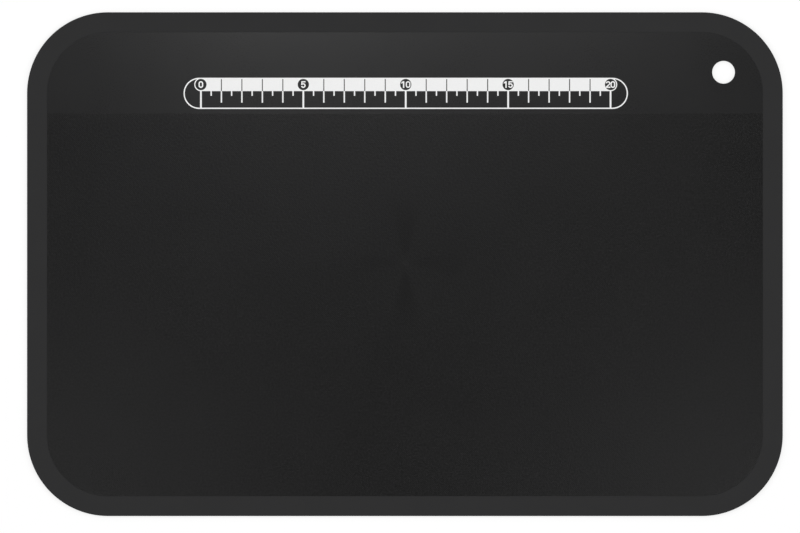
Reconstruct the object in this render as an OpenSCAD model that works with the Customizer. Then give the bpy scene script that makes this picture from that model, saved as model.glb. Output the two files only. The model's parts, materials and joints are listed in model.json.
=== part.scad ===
// Flexible cutting mat with a printed centimetre scale.
// Millimetres, +Z up. The origin is under the middle of the mat, on the counter.
// X runs along the long side and +Y points to the side with the scale and the hole.
// The mat is one moulded sheet. Here it is cut into strips along X, each hinged to
// the next at half its thickness, so that the sheet can curl.

/* [Sheet] */
// Length of the sheet
mat_l = 369; // [290:1:480]
// Width of the sheet
mat_w = 246; // [200:1:320]
// Thickness at the rim
mat_t = 2; // [1.2:0.1:4]
// Radius of the four corners
corner_r = 39.5; // [20:0.5:60]
// Width of the rim
rim_w = 9.5; // [5:0.5:12]
// Depth of the working face under the rim
face_drop = 0.15; // [0.05:0.05:0.5]

/* [Hanging hole] */
// Diameter of the hole
hole_d = 11.1; // [6:0.1:16]
// Middle of the hole from the right side
hole_from_side = 28.9; // [24:0.1:40]
// Middle of the hole from the far side
hole_from_far = 29.3; // [24:0.1:40]
// Bevel round the top of the hole
hole_bevel = 0.4; // [0.1:0.1:0.6]

/* [Printed scale] */
// Length of the scale in centimetres
scale_cm = 20; // [5:5:20]
// Top of the scale from the far side of the mat
scale_from_far = 32; // [24:0.1:45]
// Height of the outline
scale_h = 15.2; // [13:0.1:20]
// How far the outline runs past the end marks
scale_end = 8.5; // [8:0.1:12]
// Place of the scale's middle along X
scale_shift = 0.4; // [-5:0.1:5]
// Width of the outline
line_w = 0.6; // [0.4:0.05:1]
// Height of the solid band
band_h = 6.5; // [6.3:0.1:8]
// Width of the gaps that divide the band
divider_w = 0.45; // [0.2:0.05:0.6]
// Width of the five-centimetre marks
mark_w = 0.85; // [0.4:0.05:1.5]
// Width of the centimetre ticks
cm_tick_w = 0.66; // [0.3:0.02:1]
// Length of the centimetre ticks
cm_tick_l = 5.65; // [3:0.05:6]
// Width of the half-centimetre ticks
half_tick_w = 0.65; // [0.3:0.05:1]
// Length of the half-centimetre ticks
half_tick_l = 2.3; // [1:0.1:3]
// Radius of the round windows that hold the numbers
window_r = 2.75; // [2.5:0.05:2.8]
// Middle of the windows from the top of the scale
window_drop = 3.3; // [3.2:0.05:3.6]
// Width of the ring round the first and last window
ring_w = 0.5; // [0.3:0.05:0.8]
// Height of the numbers
digit_h = 3.3; // [2.4:0.1:3.6]
// Width of one digit
digit_w = 2.3; // [1.6:0.05:2.4]
// Stroke of the digits
digit_stroke = 0.62; // [0.3:0.02:0.7]
// Least gap between a number and the edge of its window
number_gap = 0.1; // [0.05:0.05:0.3]
// Thickness of the ink
ink_t = 0.05; // [0.02:0.01:0.2]

/* [Strips] */
// Width of the strip in the middle
middle_w = 6.5; // [4:0.5:12]
// Number of strips from the middle to the near side
near_count = 18; // [8:1:24]
// Number of strips from the middle to the scale
far_count = 10; // [4:1:14]
// Number of strips past the hole
edge_count = 3; // [1:1:4]
// Flat border between the scale or hole and the next bend
flat_border = 3.5; // [3:0.1:5]
// Gap between two strips, which closes as they turn
strip_gap = 0.4; // [0.3:0.05:0.8]

/* [Hidden] */
$fn = 96;
eps = 0.01;
half_l = mat_l / 2;
half_w = mat_w / 2;
face_z = mat_t - face_drop;
hole_x = half_l - hole_from_side;
hole_y = half_w - hole_from_far;
hole_r = hole_d / 2;

// Places of the scale's lines along Y, and of its first mark along X
scale_top = half_w - scale_from_far;
scale_bottom = scale_top - scale_h;
band_bottom = scale_top - band_h;
window_y = scale_top - window_drop;
scale_l = scale_cm * 10;
scale_x0 = scale_shift - scale_l / 2;
numbered = [0:5:scale_cm];

// Edges of the strips along Y
ruler_y0 = scale_bottom - flat_border;
ruler_y1 = max(scale_top, hole_y + hole_r + hole_bevel) + flat_border;
near_w = (half_w - middle_w / 2) / near_count;
far_w = (ruler_y0 - middle_w / 2) / far_count;
edge_w = (half_w - ruler_y1) / edge_count;

// Rectangle with rounded corners, centred on the origin
module rounded_rect(l, w, r) {
  square([l - 2 * r, w], center = true);
  square([l, w - 2 * r], center = true);
  for (x = [-1, 1], y = [-1, 1])
    translate([x * (l / 2 - r), y * (w / 2 - r)])
      circle(r);
}

// The whole sheet: slab, shallow working face and hanging hole
module sheet() {
  difference() {
    linear_extrude(mat_t)
      rounded_rect(mat_l, mat_w, corner_r);
    translate([0, 0, face_z])
      linear_extrude(face_drop + eps)
        rounded_rect(mat_l - 2 * rim_w, mat_w - 2 * rim_w, corner_r - rim_w);
    translate([hole_x, hole_y, -eps])
      cylinder(h = mat_t, r = hole_r);
    translate([hole_x, hole_y, face_z - hole_bevel])
      cylinder(h = hole_bevel + eps, r1 = hole_r, r2 = hole_r + hole_bevel + eps);
  }
}

// The part of the sheet between two lines along X
module strip(y0, y1) {
  intersection() {
    sheet();
    translate([-mat_l, y0, -mat_t])
      cube([2 * mat_l, y1 - y0, 3 * mat_t]);
  }
}

module middle_strip() {
  color("#303030")
    strip(-middle_w / 2 + strip_gap / 2, middle_w / 2 - strip_gap / 2);
}

// Strips 1 to near_count run from the middle to the near side
module near_strip(i) {
  inner = -middle_w / 2 - (i - 1) * near_w - strip_gap / 2;
  outer = -middle_w / 2 - i * near_w + (i < near_count ? strip_gap / 2 : -mat_t);
  color("#303030")
    strip(outer, inner);
}

// Strips 1 to far_count run from the middle to the scale
module far_strip(i) {
  inner = middle_w / 2 + (i - 1) * far_w + strip_gap / 2;
  color("#303030")
    strip(inner, inner + far_w - strip_gap);
}

// The one wide strip stays flat under the scale and round the hole
module ruler_strip() {
  color("#303030")
    strip(ruler_y0 + strip_gap / 2, ruler_y1 - strip_gap / 2);
}

// Strips 1 to edge_count run from the hole to the far side
module edge_strip(i) {
  inner = ruler_y1 + (i - 1) * edge_w + strip_gap / 2;
  outer = ruler_y1 + i * edge_w + (i < edge_count ? -strip_gap / 2 : mat_t);
  color("#303030")
    strip(inner, outer);
}

// Ink lies on the working face
module ink() {
  color("white")
    translate([0, 0, face_z])
      linear_extrude(ink_t)
        children();
}

// X of a place on the scale, given in centimetres
function scale_x(cm) = scale_x0 + 10 * cm;

// Rounds of one radius over some of the marks
module rounds(marks, r) {
  for (cm = marks)
    translate([scale_x(cm), window_y])
      circle(r);
}

// Half rings on the outer side of the first and last window
module half_rings() {
  reach = window_r + ring_w;
  difference() {
    rounds([0, scale_cm], reach);
    rounds([0, scale_cm], window_r);
    translate([scale_x0, window_y - reach - eps])
      square([scale_l, 2 * (reach + eps)]);
  }
}

// Upright line of ink that hangs from the band
module tick(cm, w, l) {
  translate([scale_x(cm) - w / 2, band_bottom - l])
    square([w, l]);
}

module stadium(l, h) {
  square([l - h, h], center = true);
  for (side = [-1, 1])
    translate([side * (l - h) / 2, 0])
      circle(h / 2);
}

// Line round the whole scale. The band takes its top side between the end marks.
module scale_outline() {
  length = scale_l + 2 * scale_end;
  ink()
    difference() {
      translate([scale_shift, scale_top - scale_h / 2])
        difference() {
          stadium(length, scale_h);
          stadium(length - 2 * line_w, scale_h - 2 * line_w);
        }
      translate([scale_x0, band_bottom])
        square([scale_l, band_h + eps]);
      rounds([0, scale_cm], window_r + ring_w);
    }
}

// White band with a window at each number and a thin gap at each other centimetre
module scale_band() {
  ink()
    difference() {
      translate([scale_x0, band_bottom])
        square([scale_l, band_h]);
      rounds(numbered, window_r);
      for (cm = [1:scale_cm - 1])
        if (cm % 5 != 0)
          translate([scale_x(cm) - divider_w / 2, band_bottom - eps])
            square([divider_w, band_h - line_w]);
    }
}

module number_rings() {
  ink()
    half_rings();
}

// Lines from the band to the outline at every fifth centimetre
module five_cm_marks() {
  ink()
    difference() {
      for (cm = numbered)
        tick(cm, mark_w, scale_h - band_h - line_w);
      half_rings();
    }
}

module cm_ticks() {
  ink()
    for (cm = [1:scale_cm - 1])
      if (cm % 5 != 0)
        tick(cm, cm_tick_w, cm_tick_l);
}

module half_cm_ticks() {
  ink()
    for (cm = [0:scale_cm - 1])
      tick(cm + 0.5, half_tick_w, half_tick_l);
}

// Digits stand on the X axis, from X = 0 to X = digit_w
bowl_r = digit_w / 2;
cell_w = digit_w * 1.02;

module bowl(gap) {
  difference() {
    circle(bowl_r);
    circle(bowl_r - digit_stroke);
    polygon([for (p = gap) [p.x * digit_w, p.y * digit_w]]);
  }
}

module digit_0() {
  translate([bowl_r, digit_h / 2])
    rotate(90)
      difference() {
        stadium(digit_h, digit_w);
        stadium(digit_h - 2 * digit_stroke, digit_w - 2 * digit_stroke);
      }
}

// Stem with a flag to its left
module digit_1() {
  right = digit_w * 0.72;
  stem = right - digit_stroke * 1.1;
  translate([stem, 0])
    square([right - stem, digit_h]);
  polygon([
    [stem + eps, digit_h],
    [stem + eps, digit_h * 0.74],
    [digit_w * 0.08, digit_h * 0.62],
    [digit_w * 0.08, digit_h * 0.78],
  ]);
}

// Bow that is open at the lower left, slanted stroke and foot
module digit_2() {
  translate([bowl_r, digit_h - bowl_r])
    bowl([[0, 0], [-1, 0.1], [-1, -1], [1, -1], [1, -0.5]]);
  square([digit_w, digit_stroke]);
  polygon([
    [0, digit_stroke - eps],
    [digit_stroke * 1.6, digit_stroke - eps],
    [digit_w * 0.94, digit_h * 0.54],
    [digit_w * 0.68, digit_h * 0.6],
  ]);
}

// Bowl that is open at the left, slanted stem and top bar
module digit_5() {
  translate([bowl_r, bowl_r])
    bowl([[0, 0], [-1, 0.45], [-1, -0.25]]);
  translate([digit_w * 0.1, digit_h - digit_stroke])
    square([digit_w * 0.88, digit_stroke]);
  polygon([
    [digit_w * 0.1, digit_h],
    [digit_w * 0.1 + digit_stroke, digit_h],
    [digit_stroke, digit_h * 0.5],
    [digit_w * 0.02, digit_h * 0.42],
  ]);
}

module digit(n) {
  if (n == 0) digit_0();
  if (n == 1) digit_1();
  if (n == 2) digit_2();
  if (n == 5) digit_5();
}

// Number of one or two digits, centred on the origin
module number(n) {
  digits = n < 10 ? [n] : [floor(n / 10), n % 10];
  for (i = [0:len(digits) - 1])
    translate([(i - len(digits) / 2) * cell_w, -digit_h / 2])
      digit(digits[i]);
}

module numbers() {
  ink()
    for (cm = numbered)
      translate([scale_x(cm), window_y])
        intersection() {
          number(cm);
          circle(window_r - number_gap);
        }
}

middle_strip();
for (i = [1:near_count]) near_strip(i);
for (i = [1:far_count]) far_strip(i);
ruler_strip();
for (i = [1:edge_count]) edge_strip(i);
scale_outline();
scale_band();
number_rings();
numbers();
five_cm_marks();
cm_ticks();
half_cm_ticks();
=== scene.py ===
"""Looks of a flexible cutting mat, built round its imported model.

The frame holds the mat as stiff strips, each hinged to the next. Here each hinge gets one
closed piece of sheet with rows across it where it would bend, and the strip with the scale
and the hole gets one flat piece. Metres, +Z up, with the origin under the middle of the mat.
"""

import json
import math

import bmesh
import bpy
from bpy.props import FloatProperty, FloatVectorProperty, PointerProperty
from mathutils import Matrix, Vector

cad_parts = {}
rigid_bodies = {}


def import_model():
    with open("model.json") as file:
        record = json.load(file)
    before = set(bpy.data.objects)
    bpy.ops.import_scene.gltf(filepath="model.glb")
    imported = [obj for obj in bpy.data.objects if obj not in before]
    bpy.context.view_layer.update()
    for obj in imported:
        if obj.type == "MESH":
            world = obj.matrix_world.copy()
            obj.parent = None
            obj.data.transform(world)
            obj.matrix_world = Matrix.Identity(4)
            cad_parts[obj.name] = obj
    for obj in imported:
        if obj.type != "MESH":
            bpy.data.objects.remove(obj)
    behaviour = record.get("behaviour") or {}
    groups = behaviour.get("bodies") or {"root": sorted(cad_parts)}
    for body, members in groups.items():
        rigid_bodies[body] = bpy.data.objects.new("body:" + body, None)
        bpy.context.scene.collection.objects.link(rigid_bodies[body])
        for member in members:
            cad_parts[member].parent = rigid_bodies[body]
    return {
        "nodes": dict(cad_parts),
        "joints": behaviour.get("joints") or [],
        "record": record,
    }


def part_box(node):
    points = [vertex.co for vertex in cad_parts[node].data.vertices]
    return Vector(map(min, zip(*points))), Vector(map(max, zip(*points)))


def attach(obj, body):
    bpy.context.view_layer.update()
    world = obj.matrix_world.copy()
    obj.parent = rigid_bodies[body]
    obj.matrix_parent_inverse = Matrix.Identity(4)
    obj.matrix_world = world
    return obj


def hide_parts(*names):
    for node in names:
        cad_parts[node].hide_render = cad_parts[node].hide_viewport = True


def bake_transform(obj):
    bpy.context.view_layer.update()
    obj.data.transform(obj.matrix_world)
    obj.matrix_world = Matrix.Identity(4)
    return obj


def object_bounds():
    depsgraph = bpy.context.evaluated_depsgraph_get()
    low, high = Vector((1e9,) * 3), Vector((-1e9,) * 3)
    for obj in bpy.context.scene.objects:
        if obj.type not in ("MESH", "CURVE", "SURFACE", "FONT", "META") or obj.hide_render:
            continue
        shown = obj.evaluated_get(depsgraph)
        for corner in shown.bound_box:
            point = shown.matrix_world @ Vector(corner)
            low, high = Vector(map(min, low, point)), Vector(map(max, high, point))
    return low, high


bl_info = {
    "name": "Flexible Cutting Mat",
    "version": (1, 0, 0),
    "blender": (4, 5, 0),
    "location": "3D View > Sidebar > Cutting Mat",
    "description": "Builds the sheet, the printed scale and the stage of a flexible cutting mat",
    "category": "Object",
}

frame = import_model()
CAD_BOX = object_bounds()

# Bodies of the frame: three rows of strips by the start of their names, and the scale's strip
NEAR_STRIPS = "near_strip_"
FAR_STRIPS = "far_strip_"
SCALE_STRIP = "ruler_strip"
EDGE_STRIPS = "edge_strip_"
INK_NODES = [
    "scale_outline",
    "scale_band",
    "number_rings",
    "numbers",
    "five_cm_marks",
    "cm_ticks",
    "half_cm_ticks",
]

MM = 0.001
HOLE = next(m for m in frame["record"]["mounts"] if m["name"] == "hanging_hole")

# Steps of the mesh round a corner, over the outer edge, across the rim, down the slope from
# the rim to the face, along a bend and round the hole
CORNER_STEPS = 32
EDGE_STEPS = 6
RIM_STEPS = 8
SLOPE_STEPS = 6
BEND_ROWS = 8
HOLE_STEPS = 128

# A loop this far from an edge keeps the shading flat beside it
SUPPORT = 0.05 * MM
# A row of a bend this near to the end of its piece is left out
ROW_CLEARANCE = SUPPORT / 10
# A vertex this near to a cut counts as lying on it
CUT_REACH = 1e-8
# An edge that turns by more than this is sharp
SHARP_ANGLE = math.radians(30)
# How far past the print and past the hole the flat piece reaches
PRINT_CLEARANCE = 0.1 * MM
HOLE_CLEARANCE = 0.05 * MM
# How far the cutter of the hole reaches past the sheet
CUTTER_REACH = 1 * MM

# The sheet's flat map, and how little a wall looks up and how much it looks sideways
FLAT_MAP = "flat_place"
WALL_LOOKS_UP = 0.7
WALL_LOOKS_SIDEWAYS = 0.3

# Order of the sheet's materials in its slots
RIM, FACE = 0, 1

# Noise stays mostly between the low and the high value
NOISE_LOW = 0.3
NOISE_MIDDLE = 0.5
NOISE_HIGH = 0.7

# Rim: size of its grain and of its cloudiness, and depth of its relief
RIM_GRAIN = 0.35 * MM
RIM_CLOUDS = 22 * MM
RIM_RELIEF = 0.02 * MM

# Working face: the same, and the speckle of its field, whose relief is real and whose tone is
# painted glint of the lamps on the embossing
FACE_GRAIN = 0.5 * MM
FACE_CLOUDS = 40 * MM
FACE_RELIEF = 0.01 * MM
SPECKLE_SIZE = 1.0 * MM
SPECKLE_RELIEF = 0.06 * MM
SPECKLE_GLINT_TONE = 2.5
PANEL_ROUGHNESS = 0.29
FIELD_ROUGHNESS = 0.32

# Embossing: two crossed waves on the slant, whose sum is cut off at a groove and at a tip
EMBOSS_TURN = math.pi / 4
EMBOSS_GROOVE = -1.2
EMBOSS_TIP = 1.6
EMBOSS_RELIEF = 0.025 * MM

# Where the mould was filled, and the pale mark that this left
GATE = Vector((0.2, 0.5, 0)) * MM
GATE_CORE = 0.8 * MM
GATE_EDGE = 2.6 * MM
GATE_TONE = 0.5

# Flow marks round the gate, as painted sheen that darkens the colour in lobes where they
# reflect less light: the distances over which they set in and fade out, their number, the level
# of the wave at which a lobe begins, and the tones of the darkest parts
FLOW_SETS_IN = (2 * MM, 8 * MM)
FLOW_FADES_OUT = (10 * MM, 40 * MM)
FLOW_LOBES = 4
FLOW_LOBE_EDGE = 0.2
FLOW_SHEEN_TONE_ACROSS = 0.4
FLOW_SHEEN_TONE_ALONG = 0.7

# Ink: size of its mottle and depth of its relief
INK_MOTTLE = 0.6 * MM
INK_RELIEF = 0.01 * MM

# Stage: the floor's gap under the mat, the white that the camera sees on it and the share of
# that, and the sizes and heights of the lamps
FLOOR_GAP = 0.05 * MM
FLOOR_WHITE = 1.03
FLOOR_WHITE_SHARE = 0.75
BOX_SIZE = 1.0
BOX_HEIGHT = 1.3
SPOT_SIZE = 0.1
SPOT_HEIGHT = 0.6


class MatSizes(bpy.types.PropertyGroup):
    """Sizes of the sheet and of its surface"""

    length: FloatProperty(
        name="Length",
        description="Length of the sheet",
        default=CAD_BOX[1].x - CAD_BOX[0].x,
        unit="LENGTH",
    )
    width: FloatProperty(
        name="Width",
        description="Width of the sheet",
        default=CAD_BOX[1].y - CAD_BOX[0].y,
        unit="LENGTH",
    )
    thickness: FloatProperty(
        name="Thickness",
        description="Thickness of the sheet at its rim",
        default=CAD_BOX[1].z - CAD_BOX[0].z,
        unit="LENGTH",
    )
    corner_radius: FloatProperty(
        name="Corner Radius",
        description="Radius of the four corners",
        default=39.5 * MM,
        unit="LENGTH",
    )
    rim_width: FloatProperty(
        name="Rim Width",
        description="Width of the matte rim",
        default=9.5 * MM,
        unit="LENGTH",
    )
    face_drop: FloatProperty(
        name="Face Drop",
        description="Depth of the working face under the rim",
        default=0.15 * MM,
        unit="LENGTH",
    )
    step_width: FloatProperty(
        name="Step Width",
        description="Width of the slope between the rim and the working face",
        default=0.25 * MM,
        unit="LENGTH",
    )
    edge_rounding: FloatProperty(
        name="Edge Rounding",
        description="Radius of the rounding along the outer edge",
        default=0.45 * MM,
        unit="LENGTH",
    )
    hole_radius: FloatProperty(
        name="Hole Radius",
        description="Radius of the hanging hole",
        default=HOLE["dims"]["r_mm"] * MM,
        unit="LENGTH",
    )
    hole_bevel: FloatProperty(
        name="Hole Bevel",
        description="Width of the bevel round the top of the hanging hole",
        default=0.4 * MM,
        unit="LENGTH",
    )
    panel_depth: FloatProperty(
        name="Panel Depth",
        description="From the far side of the sheet to where the embossed field begins",
        default=49.3 * MM,
        unit="LENGTH",
    )
    panel_fade: FloatProperty(
        name="Panel Fade",
        description="Width over which the embossing fades out at the panel",
        default=0.8 * MM,
        unit="LENGTH",
    )
    emboss_pitch: FloatProperty(
        name="Emboss Pitch",
        description="Distance between two rows of the fine embossing",
        default=0.7 * MM,
        unit="LENGTH",
    )


class MatColours(bpy.types.PropertyGroup):
    """Colours of the finishes"""

    rim: FloatVectorProperty(
        name="Rim",
        description="Colour of the matte rim, the outer edge and the underside",
        default=(0.0300, 0.0300, 0.0305, 1.0),
        size=4,
        subtype="COLOR",
    )
    panel: FloatVectorProperty(
        name="Panel",
        description="Colour of the smooth panel round the scale",
        default=(0.0112, 0.0112, 0.0115, 1.0),
        size=4,
        subtype="COLOR",
    )
    field: FloatVectorProperty(
        name="Field",
        description="Colour of the embossed field",
        default=(0.0047, 0.0047, 0.0048, 1.0),
        size=4,
        subtype="COLOR",
    )
    ink: FloatVectorProperty(
        name="Ink",
        description="Colour of the printed scale",
        default=(0.872, 0.872, 0.872, 1.0),
        size=4,
        subtype="COLOR",
    )


class StageSettings(bpy.types.PropertyGroup):
    """Floor, light and camera"""

    floor_size: FloatProperty(
        name="Floor Size",
        description="Length of the floor's sides",
        default=60.0,
        unit="LENGTH",
    )
    floor_colour: FloatVectorProperty(
        name="Floor",
        description="Colour of the floor",
        default=(0.98, 0.98, 0.98, 1.0),
        size=4,
        subtype="COLOR",
    )
    world_level: FloatProperty(
        name="World Level",
        description="Strength of the even light from all sides",
        default=0.25,
    )
    view_width: FloatProperty(
        name="View Width",
        description="Width of the picture at the top of the mat",
        default=390.6 * MM,
        unit="LENGTH",
    )
    view_centre: FloatVectorProperty(
        name="View Centre",
        description="Place on the mat at the middle of the picture",
        default=(-2.4 * MM, -1.15 * MM),
        size=2,
        unit="LENGTH",
    )
    lens: FloatProperty(
        name="Lens",
        description="Focal length in millimetres of a camera far above the mat",
        default=500.0,
    )


def settings():
    """All settings of the scene's mat"""
    return bpy.context.scene.cutting_mat


def sizes():
    """Sizes of the scene's mat"""
    return settings().sizes


# Where the sheet bends


def joints_towards(prefix):
    """The joints from the middle outwards whose child's name starts with this prefix"""
    return [j for j in frame["joints"] if j["child"].startswith(prefix)]


def strip_middle(body):
    """Place along Y of the middle of a strip"""
    low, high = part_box(body)
    return (low.y + high.y) / 2


def flat_stretch():
    """Near and far end along Y of the flat piece that holds the scale and the hole"""
    print_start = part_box("scale_outline")[0].y
    hole_end = HOLE["pos_m"][1] + sizes().hole_radius + sizes().hole_bevel
    return print_start - PRINT_CLEARANCE, hole_end + HOLE_CLEARANCE


def piece_end(body, hinge_y):
    """Where the piece that bends at this hinge ends inside the strip of this body"""
    if body == joints_towards(NEAR_STRIPS)[-1]["child"]:
        return -sizes().width / 2
    if body == joints_towards(EDGE_STRIPS)[-1]["child"]:
        return sizes().width / 2
    if body == SCALE_STRIP:
        start, end = flat_stretch()
        return start if hinge_y < start else end
    return strip_middle(body)


def bend_rows(start, end):
    """Places along Y of the rows in a bend, closer together near its two ends"""
    shares = [(1 - math.cos(math.pi * i / BEND_ROWS)) / 2 for i in range(BEND_ROWS + 1)]
    return [start + (end - start) * share for share in shares]


# Mesh tools


def vertex_round(bm, centre, radius, angle, height):
    """A new vertex on a level circle"""
    x, y = centre
    return bm.verts.new((x + radius * math.cos(angle), y + radius * math.sin(angle), height))


def ring_faces(bm, loops):
    """Faces between each loop of vertices and the next"""
    for first, second in zip(loops, loops[1:]):
        for i in range(len(first)):
            j = (i + 1) % len(first)
            bm.faces.new([first[i], first[j], second[j], second[i]])


def mesh_object(name, bm):
    """A new object in the scene, which takes over the mesh"""
    mesh = bpy.data.meshes.new(name)
    bm.to_mesh(mesh)
    bm.free()
    made = bpy.data.objects.new(name, mesh)
    bpy.context.scene.collection.objects.link(made)
    return made


# The sheet's mesh


def slope_profile():
    """Insets and heights from the rim down to the working face, as a smooth S"""
    s = sizes()
    points = []
    for i in range(SLOPE_STEPS + 1):
        share = i / SLOPE_STEPS
        eased = share * share * (3 - 2 * share)
        points.append((s.rim_width + s.step_width * share, s.thickness - s.face_drop * eased))
    return points


def profile():
    """Insets from the outline and heights, from the underside round the edge to the face"""
    s = sizes()
    r = s.edge_rounding
    points = [(r + SUPPORT, 0)]
    for i in range(EDGE_STEPS + 1):
        angle = math.pi / 2 * i / EDGE_STEPS
        points.append((r - r * math.sin(angle), r - r * math.cos(angle)))
    for i in range(EDGE_STEPS + 1):
        angle = math.pi / 2 * i / EDGE_STEPS
        points.append((r - r * math.cos(angle), s.thickness - r + r * math.sin(angle)))
    points.append((r + SUPPORT, s.thickness))
    for i in range(1, RIM_STEPS):
        points.append((r + (s.rim_width - r) * i / RIM_STEPS, s.thickness))
    points.append((s.rim_width - SUPPORT, s.thickness))
    points += slope_profile()
    points.append((s.rim_width + s.step_width + SUPPORT, s.thickness - s.face_drop))
    return points


def outline_loop(bm, inset, height):
    """Vertices round the sheet's outline, moved in by inset"""
    s = sizes()
    radius = s.corner_radius - inset
    across = s.length / 2 - s.corner_radius
    along = s.width / 2 - s.corner_radius
    centres = [(across, along), (-across, along), (-across, -along), (across, -along)]
    loop = []
    for corner, centre in enumerate(centres):
        for i in range(CORNER_STEPS + 1):
            angle = math.pi / 2 * (corner + i / CORNER_STEPS)
            loop.append(vertex_round(bm, centre, radius, angle, height))
    return loop


def whole_sheet():
    """The whole sheet as one closed mesh of loops round its outline"""
    points = profile()
    deepest_inset = points[-1][0]
    if deepest_inset >= sizes().corner_radius:
        raise RuntimeError("the rim is wider than the corner radius")
    bm = bmesh.new()
    loops = [outline_loop(bm, inset, height) for inset, height in points]
    bm.faces.new(reversed(loops[0]))
    ring_faces(bm, loops)
    bm.faces.new(loops[-1])
    working = set(loops[-2] + loops[-1])
    for face in bm.faces:
        face.smooth = True
        face.material_index = FACE if working.issuperset(face.verts) else RIM
    return bm


def cut_along_x(bm, y, keep=None):
    """Cuts the mesh at y. keep is "near" or "far" for the side that stays, or None for both."""
    cut = bmesh.ops.bisect_plane(
        bm,
        geom=bm.verts[:] + bm.edges[:] + bm.faces[:],
        dist=CUT_REACH,
        plane_co=(0, y, 0),
        plane_no=(0, 1, 0),
        clear_outer=keep == "near",
        clear_inner=keep == "far",
    )
    if keep:
        edges = [e for e in cut["geom_cut"] if isinstance(e, bmesh.types.BMEdge)]
        capped = bmesh.ops.edgeloop_fill(bm, edges=edges, mat_nr=RIM, use_smooth=False)
        if len(capped["faces"]) != 1:
            raise RuntimeError(f"the cut at y = {y:.4f} m isn't one closed loop")


def sheet_between(low, high, rows=()):
    """The part of the sheet between two places along Y, closed, with rows across it"""
    half = sizes().width / 2
    bm = whole_sheet()
    if high < half - SUPPORT:
        cut_along_x(bm, high, keep="near")
    if low > -half + SUPPORT:
        cut_along_x(bm, low, keep="far")
    for y in rows:
        if low + ROW_CLEARANCE < y < high - ROW_CLEARANCE:
            cut_along_x(bm, y)
    return bm


def mark_sharp(bm):
    """Marks the edges that the shading doesn't run across"""
    for edge in bm.edges:
        edge.smooth = edge.is_manifold and edge.calc_face_angle() < SHARP_ANGLE


def lay_flat_map(bm):
    """UV map of places on the flat sheet in metres. Upright walls unfold outwards."""
    layer = bm.loops.layers.uv.new(FLAT_MAP)
    top = sizes().thickness
    for face in bm.faces:
        side = face.normal.xy
        if face.normal.z > WALL_LOOKS_UP or side.length < WALL_LOOKS_SIDEWAYS:
            side = Vector((0, 0))
        for loop in face.loops:
            drop = top - loop.vert.co.z
            loop[layer].uv = loop.vert.co.xy + side * drop


def add_sheet_materials(ob):
    """Gives a mesh the rim's and the working face's finish, made once for all pieces"""
    for name, make in (("matte_rim", matte_rim), ("working_face", working_face)):
        ob.data.materials.append(bpy.data.materials.get(name) or make())


def sheet_object(name, bm):
    """A finished piece of the sheet"""
    bm.normal_update()
    mark_sharp(bm)
    lay_flat_map(bm)
    piece = mesh_object(name, bm)
    add_sheet_materials(piece)
    return piece


def bend_piece(name, joint, replaced):
    """One stretch of sheet across the joint, with rows where it would bend, in place of the node
    replaced
    """
    hinge = joint["pos_m"][1]
    start = piece_end(joint["parent"], hinge)
    end = piece_end(joint["child"], hinge)
    reach = min(abs(hinge - start), abs(end - hinge))
    side = 1 if end > start else -1
    bend_start = hinge - side * reach
    bend_end = hinge + side * reach
    rows = bend_rows(bend_start, bend_end)
    piece = sheet_object(name, sheet_between(min(start, end), max(start, end), rows))
    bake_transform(piece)
    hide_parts(replaced)


# The flat piece with the hanging hole


def hole_cutter():
    """A turned plug of the hole's shape, wider at the top for the bevel"""
    s = sizes()
    bevel_start = s.thickness - s.face_drop - s.hole_bevel
    widening = s.hole_bevel + CUTTER_REACH
    turned = [
        (s.hole_radius, -CUTTER_REACH),
        (s.hole_radius, bevel_start),
        (s.hole_radius + widening, bevel_start + widening),
    ]
    centre = HOLE["pos_m"][:2]
    angles = [2 * math.pi * i / HOLE_STEPS for i in range(HOLE_STEPS)]
    bm = bmesh.new()
    loops = []
    for radius, height in turned:
        loops.append([vertex_round(bm, centre, radius, angle, height) for angle in angles])
    bm.faces.new(reversed(loops[0]))
    bm.faces.new(loops[-1])
    ring_faces(bm, loops)
    for face in bm.faces:
        face.smooth = True
        face.material_index = FACE
    return mesh_object("hole_cutter", bm)


def drilled(bm):
    """The mesh with the hanging hole cut out, as a new mesh"""
    plate = mesh_object("undrilled", bm)
    cutter = hole_cutter()
    for ob in (plate, cutter):
        add_sheet_materials(ob)
    boolean = plate.modifiers.new("hanging_hole", "BOOLEAN")
    boolean.object = cutter
    boolean.operation = "DIFFERENCE"
    boolean.solver = "EXACT"
    bpy.context.view_layer.update()
    graph = bpy.context.evaluated_depsgraph_get()
    result = bmesh.new()
    result.from_mesh(plate.evaluated_get(graph).to_mesh())
    for ob in (plate, cutter):
        data = ob.data
        bpy.data.objects.remove(ob)
        bpy.data.meshes.remove(data)
    return result


# Node trees


def new_finish(name):
    """A new material with its node tree and its shader"""
    material = bpy.data.materials.new(name)
    material.use_nodes = True
    tree = material.node_tree
    return material, tree, tree.nodes["Principled BSDF"]


def node(tree, kind, **values):
    """A new node. A value goes to the setting or the input of its name, or by i0, i1 and so on
    to the input of that number, and may be a number, a colour or another node's output."""
    made = tree.nodes.new(kind)
    for key, value in values.items():
        if hasattr(made, key):
            setattr(made, key, value)
            continue
        socket = made.inputs[int(key[1:])] if key[1:].isdigit() else made.inputs[key]
        if isinstance(value, bpy.types.NodeSocket):
            tree.links.new(value, socket)
        else:
            socket.default_value = value
    return made


def maths(tree, operation, first, second=0.0):
    """Output of a maths node"""
    made = node(tree, "ShaderNodeMath", operation=operation, i0=first, i1=second)
    return made.outputs[0]


def times(tree, first, second):
    return maths(tree, "MULTIPLY", first, second)


def plus(tree, first, second):
    return maths(tree, "ADD", first, second)


def mapped(tree, value, from_low, from_high, to_low, to_high, smooth=False):
    """value moved from one range to another, and held inside the second"""
    made = node(
        tree,
        "ShaderNodeMapRange",
        interpolation_type="SMOOTHSTEP" if smooth else "LINEAR",
        i0=value,
        i1=from_low,
        i2=from_high,
        i3=to_low,
        i4=to_high,
    )
    return made.outputs["Result"]


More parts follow.
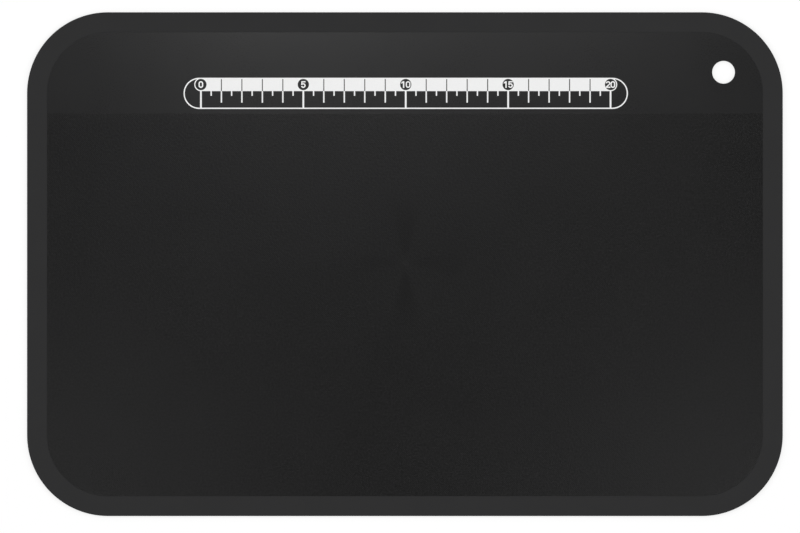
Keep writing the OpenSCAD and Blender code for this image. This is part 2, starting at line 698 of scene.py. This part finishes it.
def mixed_colours(tree, factor, first, second):
    """The first colour where factor is 0, and the second where it is 1"""
    made = node(tree, "ShaderNodeMix", data_type="RGBA", i0=factor, i6=first, i7=second)
    return made.outputs[2]


def scaled_colour(tree, colour, factor):
    """A colour made lighter or darker by a factor"""
    made = node(tree, "ShaderNodeVectorMath", operation="SCALE", i0=colour, i3=factor)
    return made.outputs[0]


def noise(tree, place, size, detail=2.0):
    """Noise from 0 to 1 whose spots are about size wide"""
    made = node(tree, "ShaderNodeTexNoise", Vector=place, Scale=1 / size, Detail=detail)
    return made.outputs[0]


def spread(tree, pattern, low, high):
    """A noise pattern spread over this range"""
    return mapped(tree, pattern, NOISE_LOW, NOISE_HIGH, low, high)


def flat_place(tree):
    """Place on the flat sheet, which stays with the surface as the sheet bends"""
    return node(tree, "ShaderNodeUVMap", uv_map=FLAT_MAP).outputs[0]


def give_finish(tree, shader, colour, roughness, specular, relief):
    """Gives the shader its colour, roughness, shine, and a relief in metres"""
    bump = node(tree, "ShaderNodeBump", Height=relief, Distance=1.0)
    tree.links.new(colour, shader.inputs["Base Color"])
    tree.links.new(roughness, shader.inputs["Roughness"])
    tree.links.new(bump.outputs[0], shader.inputs["Normal"])
    shader.inputs["Specular IOR Level"].default_value = specular


# Finishes


def matte_rim():
    """Fine matte finish of the rim, the outer edge and the underside"""
    material, tree, shader = new_finish("matte_rim")
    place = flat_place(tree)
    grain = noise(tree, place, RIM_GRAIN, detail=3)
    clouds = noise(tree, place, RIM_CLOUDS)
    tone = times(tree, spread(tree, grain, 0.9, 1.1), spread(tree, clouds, 0.98, 1.02))
    give_finish(
        tree,
        shader,
        colour=scaled_colour(tree, tuple(settings().colours.rim[:3]), tone),
        roughness=spread(tree, grain, 0.82, 0.95),
        specular=0.05,
        relief=times(tree, grain, RIM_RELIEF),
    )
    return material


def field_share(tree, place):
    """1 on the embossed field and 0 on the smooth panel, with a soft border"""
    y = node(tree, "ShaderNodeSeparateXYZ", Vector=place).outputs[1]
    border = sizes().width / 2 - sizes().panel_depth
    fade = sizes().panel_fade / 2
    return mapped(tree, y, border - fade, border + fade, 1.0, 0.0, smooth=True)


def emboss_height(tree, place):
    """Rows of small blunt pyramids on the slant, 0 in the grooves and 1 at the tips"""
    turned = node(
        tree,
        "ShaderNodeVectorRotate",
        rotation_type="Z_AXIS",
        Vector=place,
        Angle=EMBOSS_TURN,
    )
    axes = node(tree, "ShaderNodeSeparateXYZ", Vector=turned.outputs[0])
    waves = []
    for axis in (0, 1):
        phase = times(tree, axes.outputs[axis], 2 * math.pi / sizes().emboss_pitch)
        waves.append(maths(tree, "SINE", phase))
    total = plus(tree, waves[0], waves[1])
    return mapped(tree, total, EMBOSS_GROOVE, EMBOSS_TIP, 0.0, 1.0)


def gate_mark(tree, place):
    """Small round mark where the mould was filled, 1 at its middle and 0 outside"""
    distance = node(tree, "ShaderNodeVectorMath", operation="DISTANCE", i0=place, i1=GATE)
    reach = distance.outputs["Value"]
    return mapped(tree, reach, GATE_CORE, GATE_EDGE, 1.0, 0.0, smooth=True)


def flow_mark_sheen(tree, place):
    """Painted sheen: faint dark lobes from the gate along and, more, across the sheet, as a tone
    """
    offset = node(tree, "ShaderNodeVectorMath", operation="SUBTRACT", i0=place, i1=GATE)
    axes = node(tree, "ShaderNodeSeparateXYZ", Vector=offset.outputs[0])
    angle = maths(tree, "ARCTAN2", axes.outputs[1], axes.outputs[0])
    ripple = maths(tree, "COSINE", times(tree, angle, FLOW_LOBES))
    lobes = mapped(tree, ripple, FLOW_LOBE_EDGE, 1.0, 0.0, 1.0, smooth=True)
    length = node(tree, "ShaderNodeVectorMath", operation="LENGTH", i0=offset.outputs[0])
    reach = length.outputs["Value"]
    start = mapped(tree, reach, *FLOW_SETS_IN, 0.0, 1.0, smooth=True)
    end = mapped(tree, reach, *FLOW_FADES_OUT, 1.0, 0.0, smooth=True)
    depth = times(tree, times(tree, lobes, start), end)
    along = maths(tree, "COSINE", times(tree, angle, 2.0))
    darkest = mapped(tree, along, -1.0, 1.0, FLOW_SHEEN_TONE_ACROSS, FLOW_SHEEN_TONE_ALONG)
    return mapped(tree, depth, 0.0, 1.0, 1.0, darkest)


def working_face():
    """Smooth panel round the scale, and the finely embossed field"""
    material, tree, shader = new_finish("working_face")
    colours = settings().colours
    place = flat_place(tree)
    in_field = field_share(tree, place)
    grain = noise(tree, place, FACE_GRAIN, detail=3)
    clouds = noise(tree, place, FACE_CLOUDS)
    spots = noise(tree, place, SPECKLE_SIZE, detail=1)
    speckle_and_glint = times(tree, maths(tree, "SUBTRACT", spots, NOISE_MIDDLE), in_field)

    base = mixed_colours(tree, in_field, tuple(colours.panel), tuple(colours.field))
    tone = times(tree, spread(tree, grain, 0.85, 1.15), spread(tree, clouds, 0.95, 1.05))
    # Painted glint: the speckle lightens and darkens the field's colour in small spots
    tone = plus(tree, tone, times(tree, speckle_and_glint, SPECKLE_GLINT_TONE))
    tone = plus(tree, tone, times(tree, gate_mark(tree, place), GATE_TONE))
    # Painted sheen: the flow marks darken the colour in lobes round the gate
    tone = times(tree, tone, flow_mark_sheen(tree, place))

    rough = mapped(tree, in_field, 0.0, 1.0, PANEL_ROUGHNESS, FIELD_ROUGHNESS)
    rough = plus(tree, rough, spread(tree, clouds, -0.015, 0.015))
    rough = plus(tree, rough, spread(tree, grain, -0.02, 0.02))

    emboss = times(tree, emboss_height(tree, place), in_field)
    relief = times(tree, emboss, EMBOSS_RELIEF)
    relief = plus(tree, relief, times(tree, grain, FACE_RELIEF))
    relief = plus(tree, relief, times(tree, speckle_and_glint, SPECKLE_RELIEF))

    colour = scaled_colour(tree, base, tone)
    give_finish(tree, shader, colour, rough, specular=0.2, relief=relief)
    return material


def white_ink():
    """Flat white screen print with a faint mottle"""
    material, tree, shader = new_finish("white_ink")
    place = node(tree, "ShaderNodeTexCoord").outputs["Object"]
    mottle = noise(tree, place, INK_MOTTLE, detail=3)
    tone = spread(tree, mottle, 0.985, 1.015)
    give_finish(
        tree,
        shader,
        colour=scaled_colour(tree, tuple(settings().colours.ink[:3]), tone),
        roughness=spread(tree, mottle, 0.55, 0.65),
        specular=0.3,
        relief=times(tree, mottle, INK_RELIEF),
    )
    return material


# Stage


def floor_material():
    """Pale floor that looks white to the camera and keeps the object's shadow"""
    material, tree, shader = new_finish("pale_floor")
    shader.inputs["Base Color"].default_value = settings().stage.floor_colour
    shader.inputs["Roughness"].default_value = 1.0
    shader.inputs["Specular IOR Level"].default_value = 0.0
    path = node(tree, "ShaderNodeLightPath")
    seen = maths(tree, "MAXIMUM", path.outputs["Is Camera Ray"], path.outputs["Is Glossy Ray"])
    seen = maths(tree, "MAXIMUM", seen, path.outputs["Is Transmission Ray"])
    white = node(tree, "ShaderNodeEmission", Color=(1, 1, 1, 1), Strength=FLOOR_WHITE)
    blend = node(
        tree,
        "ShaderNodeMixShader",
        i0=times(tree, seen, FLOOR_WHITE_SHARE),
        i1=shader.outputs[0],
        i2=white.outputs[0],
    )
    tree.links.new(blend.outputs[0], tree.nodes["Material Output"].inputs["Surface"])
    return material


def add_floor():
    """A wide level floor just under the mat"""
    bm = bmesh.new()
    bmesh.ops.create_grid(bm, x_segments=1, y_segments=1, size=settings().stage.floor_size / 2)
    floor = mesh_object("floor", bm)
    floor.data.materials.append(floor_material())
    floor.location.z = -FLOOR_GAP


def add_world():
    """Even white light from all sides"""
    world = bpy.data.worlds.new("studio")
    world.use_nodes = True
    background = world.node_tree.nodes["Background"]
    background.inputs["Color"].default_value = (1, 1, 1, 1)
    background.inputs["Strength"].default_value = settings().stage.world_level
    bpy.context.scene.world = world


def add_lamp(name, place, aim, size, level):
    """A square lamp. level is the light that it gives at its aim, where 1 shows white as white."""
    data = bpy.data.lights.new(name, "AREA")
    data.shape = "SQUARE"
    data.size = size
    offset = Vector(aim) - Vector(place)
    facing_down = abs(offset.z) / offset.length
    data.energy = level * math.pi**2 * offset.length_squared / facing_down
    lamp = bpy.data.objects.new(name, data)
    lamp.location = place
    lamp.rotation_euler = offset.to_track_quat("-Z", "Y").to_euler()
    lamp.visible_camera = False
    bpy.context.scene.collection.objects.link(lamp)


def add_lamps():
    """Large soft boxes on all four sides, and small lamps above whose shine lies on the sheet"""
    boxes = [
        ("left_box", (-1.6, 0.1), 0.17),
        ("right_box", (1.6, 0.1), 0.17),
        ("far_box", (0, 1.6), 0.085),
        ("near_box", (0, -1.6), 0.085),
    ]
    for name, (x, y), level in boxes:
        add_lamp(name, (x, y, BOX_HEIGHT), (0, 0, 0), BOX_SIZE, level)
    spots = [
        ("far_left_light", (-0.07, 0.20), 0.117),
        ("far_right_light", (0.09, 0.21), 0.066),
        ("near_left_light", (-0.21, -0.17), 0.075),
        ("near_right_light", (0.20, -0.17), 0.086),
    ]
    for name, (x, y), level in spots:
        add_lamp(name, (x, y, SPOT_HEIGHT), (x, y, 0), SPOT_SIZE, level)


def add_camera():
    """A camera straight above the mat, with a long lens"""
    stage = settings().stage
    aim = Vector((*stage.view_centre, sizes().thickness))
    data = bpy.data.cameras.new("camera")
    data.sensor_fit = "HORIZONTAL"
    data.lens = stage.lens
    distance = stage.view_width * data.lens / data.sensor_width
    data.clip_start = 0.1
    data.clip_end = 2 * distance
    camera = bpy.data.objects.new("camera", data)
    camera.matrix_world = Matrix.Translation(aim + Vector((0, 0, distance)))
    bpy.context.scene.collection.objects.link(camera)
    bpy.context.scene.camera = camera


# Operators


class CUTTING_MAT_OT_stage(bpy.types.Operator):
    """Adds the floor, the light and the camera"""

    bl_idname = "cutting_mat.stage"
    bl_label = "Stage"

    def execute(self, context):
        context.scene.view_settings.view_transform = "Standard"
        add_world()
        add_floor()
        add_lamps()
        add_camera()
        return {"FINISHED"}


class CUTTING_MAT_OT_near_sheet(bpy.types.Operator):
    """Adds the pieces of sheet from the middle to the near side"""

    bl_idname = "cutting_mat.near_sheet"
    bl_label = "Near Sheet"

    def execute(self, context):
        for i, joint in enumerate(joints_towards(NEAR_STRIPS), start=1):
            bend_piece(f"near_sheet_{i}", joint, joint["child"])
        return {"FINISHED"}


class CUTTING_MAT_OT_far_sheet(bpy.types.Operator):
    """Adds the pieces of sheet from the middle to the scale"""

    bl_idname = "cutting_mat.far_sheet"
    bl_label = "Far Sheet"

    def execute(self, context):
        joints = joints_towards(FAR_STRIPS) + joints_towards(SCALE_STRIP)
        for i, joint in enumerate(joints, start=1):
            bend_piece(f"far_sheet_{i}", joint, joint["parent"])
        return {"FINISHED"}


class CUTTING_MAT_OT_scale_sheet(bpy.types.Operator):
    """Adds the flat piece of sheet under the scale, with the hanging hole"""

    bl_idname = "cutting_mat.scale_sheet"
    bl_label = "Scale Sheet"

    def execute(self, context):
        piece = sheet_object("scale_sheet", drilled(sheet_between(*flat_stretch())))
        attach(piece, SCALE_STRIP)
        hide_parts(SCALE_STRIP)
        return {"FINISHED"}


class CUTTING_MAT_OT_edge_sheet(bpy.types.Operator):
    """Adds the pieces of sheet from the hole to the far side"""

    bl_idname = "cutting_mat.edge_sheet"
    bl_label = "Edge Sheet"

    def execute(self, context):
        for i, joint in enumerate(joints_towards(EDGE_STRIPS), start=1):
            bend_piece(f"edge_sheet_{i}", joint, joint["child"])
        return {"FINISHED"}


class CUTTING_MAT_OT_print(bpy.types.Operator):
    """Gives the printed scale its ink"""

    bl_idname = "cutting_mat.print"
    bl_label = "Print"

    def execute(self, context):
        ink = white_ink()
        for name in INK_NODES:
            patch = frame["nodes"][name]
            for material_slot in patch.material_slots:
                material_slot.material = ink
        return {"FINISHED"}


class VIEW3D_PT_cutting_mat(bpy.types.Panel):
    """Lists the mat's sizes, colours and operators"""

    bl_label = "Cutting Mat"
    bl_space_type = "VIEW_3D"
    bl_region_type = "UI"
    bl_category = "Cutting Mat"

    def draw(self, context):
        layout = self.layout
        mat = context.scene.cutting_mat
        for group in (mat.sizes, mat.colours, mat.stage):
            box = layout.box()
            for name in group.__annotations__:
                box.prop(group, name)
        for operator in OPERATORS:
            layout.operator(operator.bl_idname)


class CuttingMat(bpy.types.PropertyGroup):
    """All settings of the mat and its stage"""

    sizes: PointerProperty(type=MatSizes)
    colours: PointerProperty(type=MatColours)
    stage: PointerProperty(type=StageSettings)


OPERATORS = [
    CUTTING_MAT_OT_stage,
    CUTTING_MAT_OT_near_sheet,
    CUTTING_MAT_OT_far_sheet,
    CUTTING_MAT_OT_scale_sheet,
    CUTTING_MAT_OT_edge_sheet,
    CUTTING_MAT_OT_print,
]
CLASSES = [MatSizes, MatColours, StageSettings, CuttingMat, *OPERATORS, VIEW3D_PT_cutting_mat]


def register():
    for cls in CLASSES:
        bpy.utils.register_class(cls)
    bpy.types.Scene.cutting_mat = PointerProperty(type=CuttingMat)


def unregister():
    del bpy.types.Scene.cutting_mat
    for cls in reversed(CLASSES):
        bpy.utils.unregister_class(cls)


def main():
    register()
    bpy.ops.cutting_mat.stage()
    bpy.ops.cutting_mat.near_sheet()
    bpy.ops.cutting_mat.far_sheet()
    bpy.ops.cutting_mat.scale_sheet()
    bpy.ops.cutting_mat.edge_sheet()
    bpy.ops.cutting_mat.print()


if __name__ == "__main__":
    main()
